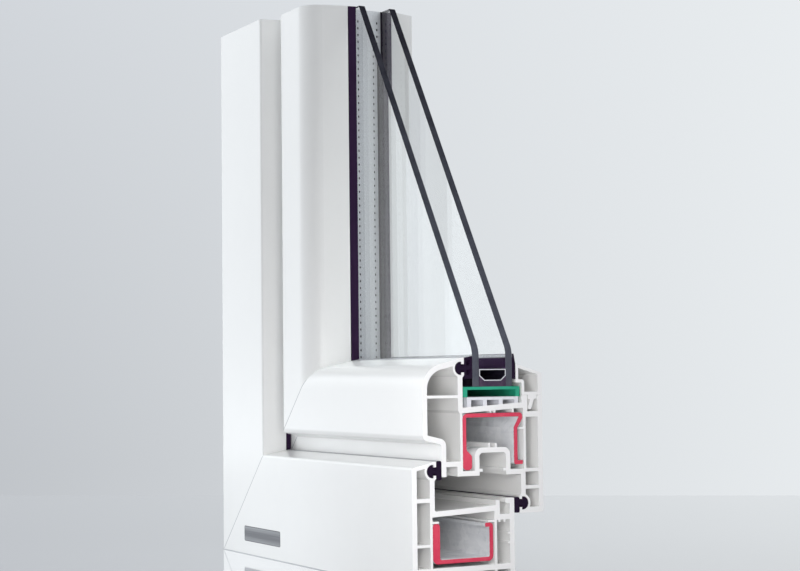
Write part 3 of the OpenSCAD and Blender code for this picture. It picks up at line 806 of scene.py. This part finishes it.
def dress(nodes, material):
    """Put a finish on CAD nodes."""
    for node in nodes:
        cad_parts[node].material_slots[0].material = material


class WINDOW_SAMPLE_OT_profiles(bpy.types.Operator):
    """Finish the PVC lengths of frame, sash and beads"""

    bl_idname = "window_sample.profiles"
    bl_label = "PVC lengths"

    def execute(self, context):
        for way, nodes in PVC_LENGTHS.items():
            dress(nodes, white_pvc(way))
        return {"FINISHED"}


class WINDOW_SAMPLE_OT_steels(bpy.types.Operator):
    """Finish the galvanised steel cores"""

    bl_idname = "window_sample.steels"
    bl_label = "Steel cores"

    def execute(self, context):
        for way, nodes in STEEL_LENGTHS.items():
            dress(nodes, zinc_steel(way))
        return {"FINISHED"}


class WINDOW_SAMPLE_OT_seals(bpy.types.Operator):
    """Finish the rubber seals and the edge sealant"""

    bl_idname = "window_sample.seals"
    bl_label = "Seals"

    def execute(self, context):
        for way, nodes in SEAL_LENGTHS.items():
            dress(nodes, seal_rubber(way))
        dress(("sealant_rail", "sealant_stile"), edge_sealant())
        return {"FINISHED"}


class WINDOW_SAMPLE_OT_panes(bpy.types.Operator):
    """Make the two panes with clear faces and dark cut edges"""

    bl_idname = "window_sample.panes"
    bl_label = "Panes"

    def execute(self, context):
        looks = context.scene.window_glazing
        glass, edge = clear_glass(), glass_edge()
        for node in ("outer_pane", "inner_pane"):
            pane = solid_copy(node, f"glass_{node}")
            run_in_edit_mode([
                (bpy.ops.mesh.select_mode, {"type": "EDGE"}),
                (bpy.ops.mesh.edges_select_sharp, {"sharpness": SHARP_ANGLE}),
                (bpy.ops.mesh.bevel, {"offset": looks.arris, "segments": 1}),
            ])
            set_materials(pane, glass, edge)
            for face in pane.data.polygons:
                face.material_index = 0 if abs(face.normal.y) > PANE_FACE else 1
            bpy.ops.object.shade_smooth_by_angle(angle=SMOOTH_ANGLE)
            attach(pane, BODY)
            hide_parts(node)
        return {"FINISHED"}


class WINDOW_SAMPLE_OT_spacers(bpy.types.Operator):
    """Make the spacer bars with their two rows of pin holes"""

    bl_idname = "window_sample.spacers"
    bl_label = "Spacer bars"

    def execute(self, context):
        # Near-black painted shade for the inner walls of the bars
        inside = spacer_hollow()
        for node, way in (("spacer_rail", "lying"), ("spacer_stile", "standing")):
            bar = self.hollow_bar(node, way, inside)
            self.pierce(bar, node, way)
            bpy.ops.object.shade_smooth_by_angle(angle=SMOOTH_ANGLE)
            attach(bar, BODY)
            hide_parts(node)
        return {"FINISHED"}

    def hollow_bar(self, node, way, inside):
        """Copy of a bar whose inner walls get the painted shade."""
        bar = solid_copy(node, f"pierced_{node}")
        set_materials(bar, spacer_metal(way), inside)
        low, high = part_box(node)
        middle = (low + high) / 2
        axis = AXES[way]
        for face in bar.data.polygons:
            inwards = middle - face.center
            inwards -= axis * inwards.dot(axis)
            side_wall = abs(face.normal.dot(axis)) < BAR_END
            face.material_index = int(side_wall and face.normal.dot(inwards) > 0)
        return bar

    def pierce(self, bar, node, way):
        """Cut the pin holes into the wall that looks into the cavity."""
        looks = bpy.context.scene.window_glazing
        low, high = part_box(node)
        axis = AXES[way]
        lying = way == "lying"
        inner_corner = max(low.x - CORNER_X, low.z) + min(high.x - low.x, high.z - low.z)
        start = inner_corner + looks.pin_pitch
        run = (SILL_END - CORNER_X if lying else JAMB_TOP) - start
        first = Vector((CORNER_X + inner_corner, low.y + looks.pin_margin, inner_corner))
        first += axis * looks.pin_pitch
        bpy.ops.object.select_all(action="DESELECT")
        bpy.ops.mesh.primitive_cylinder_add(
            vertices=looks.pin_sides, radius=looks.pin_width / 2, depth=looks.pin_height, location=first,
            rotation=(0.0, 0.0 if lying else math.pi / 2, 0.0))
        pins = bpy.context.view_layer.objects.active
        bpy.ops.object.transform_apply(location=False, rotation=True, scale=False)
        pins.scale = Vector((1.0, 1.0, 1.0)) + axis * (looks.pin_length / looks.pin_width - 1.0)
        bpy.ops.object.transform_apply(location=True, rotation=True, scale=True)
        repeat(pins, int(run / looks.pin_pitch), axis * looks.pin_pitch)
        repeat(pins, 2, (0.0, high.y - low.y - 2 * looks.pin_margin, 0.0))
        apply_modifier(bar, "BOOLEAN", operation="DIFFERENCE", object=pins, solver="EXACT")
        bpy.data.objects.remove(pins)
        select_only(bar)


class WINDOW_SAMPLE_OT_packers(bpy.types.Operator):
    """Finish the setting block and the bridge under it"""

    bl_idname = "window_sample.packers"
    bl_label = "Packers"

    def execute(self, context):
        looks = context.scene.window_packer
        green = moulded_plastic("green_plastic_skin", looks.green, looks.green_deep, looks.green_gloss)
        pale = moulded_plastic("pale_plastic_skin", looks.pale, looks.pale_deep, looks.pale_gloss)
        dress(("setting_block",), green)
        dress(("bridge_packer",), pale)
        return {"FINISHED"}


class WINDOW_SAMPLE_OT_label(bpy.types.Operator):
    """Make the blank foil label on the outdoor face of the sill"""

    bl_idname = "window_sample.label"
    bl_label = "Blank label"

    def execute(self, context):
        looks = context.scene.window_label
        label = self.plate(looks)
        self.press_rim(label, looks)
        # The field gets the foil with its painted reflection; every face but the field gets a darker foil
        # as a painted shadow line
        set_materials(
            label, brushed_foil("foil_field", looks.silver, looks.silver_painted_shade),
            brushed_foil("foil_edge", looks.edge, looks.edge))
        for face in label.data.polygons:
            face.material_index = 0 if face.select else 1
        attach(label, BODY)
        return {"FINISHED"}

    def plate(self, looks):
        """Thin plate with round corners."""
        middle = Vector(looks.place) - Vector((0.0, looks.thickness / 2, 0.0))
        bpy.ops.object.select_all(action="DESELECT")
        bpy.ops.mesh.primitive_cube_add(
            size=1.0, location=middle, scale=(looks.length, looks.thickness, looks.height))
        label = bpy.context.view_layer.objects.active
        label.name = "blank_label"
        bpy.ops.object.transform_apply(location=True, rotation=True, scale=True)
        run_in_edit_mode([
            (bpy.ops.mesh.select_mode, {"type": "FACE"}),
            (bpy.ops.mesh.select_all, {"action": "DESELECT"}),
        ])
        for line in label.data.edges:
            ends = [label.data.vertices[corner].co for corner in line.vertices]
            line.select = abs(ends[0].y - ends[1].y) > looks.thickness / 2
        run_in_edit_mode([
            (bpy.ops.mesh.select_mode, {"type": "EDGE"}),
            (bpy.ops.mesh.bevel, {"offset": looks.turn, "segments": LABEL_CORNER_STEPS}),
            (bpy.ops.mesh.select_all, {"action": "DESELECT"}),
        ])
        return label

    def press_rim(self, label, looks):
        """Press the field in, so that a rim is left round it, and leave the field selected."""
        for face in label.data.polygons:
            face.select = face.normal.y < -LABEL_FRONT
        run_in_edit_mode([
            (bpy.ops.mesh.select_mode, {"type": "FACE"}),
            (bpy.ops.mesh.inset, {"thickness": looks.rim}),
            (bpy.ops.mesh.inset, {"thickness": looks.rim / 4, "depth": -looks.thickness / 2}),
        ])


class WINDOW_SAMPLE_OT_studio(bpy.types.Operator):
    """Set the table, the backdrop, the soft lamps and the camera"""

    bl_idname = "window_sample.studio"
    bl_label = "Studio"

    def execute(self, context):
        studio = context.scene.window_studio
        right = Vector((math.sin(studio.yaw), -math.cos(studio.yaw), 0.0))
        table = self.lay_table(studio)
        self.hang_backdrop(context.scene, studio, right)
        self.hang_lamps(studio, table)
        self.stand_camera(context.scene, studio, right)
        context.scene.view_settings.view_transform = "Standard"
        return {"FINISHED"}

    def lay_table(self, studio):
        """Table top whose far edge shows behind the sample."""
        turn = Matrix.Rotation(studio.table_turn, 4, "Z")
        towards_camera = turn @ Vector((0.0, -1.0, 0.0))
        middle = Vector(studio.table_edge) + towards_camera * studio.table_depth / 2
        middle.z = -studio.table_thickness / 2
        bpy.ops.object.select_all(action="DESELECT")
        bpy.ops.mesh.primitive_cube_add(
            size=1.0, location=middle, rotation=(0.0, 0.0, studio.table_turn),
            scale=(studio.table_width, studio.table_depth, studio.table_thickness))
        table = bpy.context.view_layer.objects.active
        table.name = "table"
        bpy.ops.object.transform_apply(location=True, rotation=True, scale=True)
        apply_modifier(table, "BEVEL", width=studio.table_round, segments=TABLE_EDGE_STEPS)
        set_materials(table, table_top())
        return table

    def hang_backdrop(self, scene, studio, right):
        """Pale backdrop that grows lighter upwards and to the right of the view."""
        world = bpy.data.worlds.new("backdrop")
        scene.world = world
        world.use_nodes = True
        tree = world.node_tree
        way = tree.nodes.new("ShaderNodeTexCoord").outputs["Generated"]
        across = put(tree, "ShaderNodeVectorMath", {0: way, 1: right}, operation="DOT_PRODUCT")
        height = stretch(tree, part(tree, way, "Z"), 0.0, 1.0, *BACKDROP_RISE)
        sweep = stretch(tree, across.outputs["Value"], 0.0, 1.0, *BACKDROP_SWEEP)
        dim = mix_colours(tree, height, studio.back_dark, studio.back_high)
        colour = mix_colours(tree, sweep, dim, studio.back_light)
        rays = tree.nodes.new("ShaderNodeLightPath").outputs
        seen = maths(tree, "MAXIMUM", rays["Is Camera Ray"], rays["Is Glossy Ray"])
        seen = maths(tree, "MAXIMUM", seen, rays["Is Transmission Ray"])
        set_inputs(tree, tree.nodes["Background"], {"Color": mix_colours(tree, seen, studio.room, colour)})

    def hang_lamps(self, studio, table):
        """Soft lamps, of which only some light the table or show in glass and shiny faces."""
        unlit = bpy.data.collections.new("table_alone")
        unlit.objects.link(table)
        unlit.collection_objects[0].light_linking.link_state = "EXCLUDE"
        for name, setup in LAMPS.items():
            bpy.ops.object.light_add(type="AREA", location=setup.place)
            lamp = bpy.context.view_layer.objects.active
            lamp.name = name
            lamp.data.shape = "RECTANGLE"
            lamp.data.size, lamp.data.size_y = setup.size
            lamp.data.energy = getattr(studio, setup.power)
            lamp.data.color = getattr(studio, setup.colour)
            lamp.visible_camera = False
            lamp.visible_glossy = setup.in_reflections
            lamp.visible_transmission = setup.through_glass
            towards = setup.aim - Vector(setup.place)
            lamp.rotation_euler = towards.to_track_quat("-Z", "Y").to_euler()
            if not setup.lights_table:
                lamp.light_linking.receiver_collection = unlit

    def stand_camera(self, scene, studio, right):
        """Camera at the viewing angle of the sample."""
        ahead = Vector((
            math.cos(studio.pitch) * math.cos(studio.yaw), math.cos(studio.pitch) * math.sin(studio.yaw),
            math.sin(studio.pitch)))
        upright = right.cross(ahead)
        rolled_right = right * math.cos(studio.roll) + upright * math.sin(studio.roll)
        rolled_up = upright * math.cos(studio.roll) - right * math.sin(studio.roll)
        bpy.ops.object.camera_add(location=studio.eye)
        camera = bpy.context.view_layer.objects.active
        camera.name = "camera"
        camera.rotation_euler = Matrix((rolled_right, rolled_up, -ahead)).transposed().to_euler()
        camera.data.sensor_width = SENSOR_WIDTH
        camera.data.lens = studio.lens
        camera.data.clip_start = NEAR_CLIP
        scene.camera = camera


OPERATORS = (
    WINDOW_SAMPLE_OT_profiles,
    WINDOW_SAMPLE_OT_steels,
    WINDOW_SAMPLE_OT_seals,
    WINDOW_SAMPLE_OT_panes,
    WINDOW_SAMPLE_OT_spacers,
    WINDOW_SAMPLE_OT_packers,
    WINDOW_SAMPLE_OT_label,
    WINDOW_SAMPLE_OT_studio,
)
SETTINGS = {
    "window_pvc": PvcFinish,
    "window_steel": SteelFinish,
    "window_seal": SealFinish,
    "window_glazing": GlazingFinish,
    "window_packer": PackerFinish,
    "window_label": LabelFinish,
    "window_studio": StudioSetup,
}


class WINDOW_SAMPLE_PT_panel(bpy.types.Panel):
    """Sizes, colours and steps of the window sample"""

    bl_idname = "WINDOW_SAMPLE_PT_panel"
    bl_label = "Window sample"
    bl_space_type = "VIEW_3D"
    bl_region_type = "UI"
    bl_category = "Window sample"

    def draw(self, context):
        for operator in OPERATORS:
            self.layout.operator(operator.bl_idname)
        for name, group in SETTINGS.items():
            box = self.layout.box()
            for setting in group.__annotations__:
                box.prop(getattr(context.scene, name), setting)


def register():
    """Add the settings, the steps and the panel to Blender."""
    for group in SETTINGS.values():
        bpy.utils.register_class(group)
    for name, group in SETTINGS.items():
        setattr(bpy.types.Scene, name, PointerProperty(type=group))
    for operator in OPERATORS:
        bpy.utils.register_class(operator)
    bpy.utils.register_class(WINDOW_SAMPLE_PT_panel)


def unregister():
    """Take the panel, the steps and the settings out again."""
    bpy.utils.unregister_class(WINDOW_SAMPLE_PT_panel)
    for operator in reversed(OPERATORS):
        bpy.utils.unregister_class(operator)
    for name in SETTINGS:
        delattr(bpy.types.Scene, name)
    for group in reversed(SETTINGS.values()):
        bpy.utils.unregister_class(group)


def main():
    """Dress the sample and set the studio."""
    register()
    build_groups()
    bpy.ops.window_sample.profiles()
    bpy.ops.window_sample.steels()
    bpy.ops.window_sample.seals()
    bpy.ops.window_sample.panes()
    bpy.ops.window_sample.spacers()
    bpy.ops.window_sample.packers()
    bpy.ops.window_sample.label()
    bpy.ops.window_sample.studio()


if __name__ == "__main__":
    main()
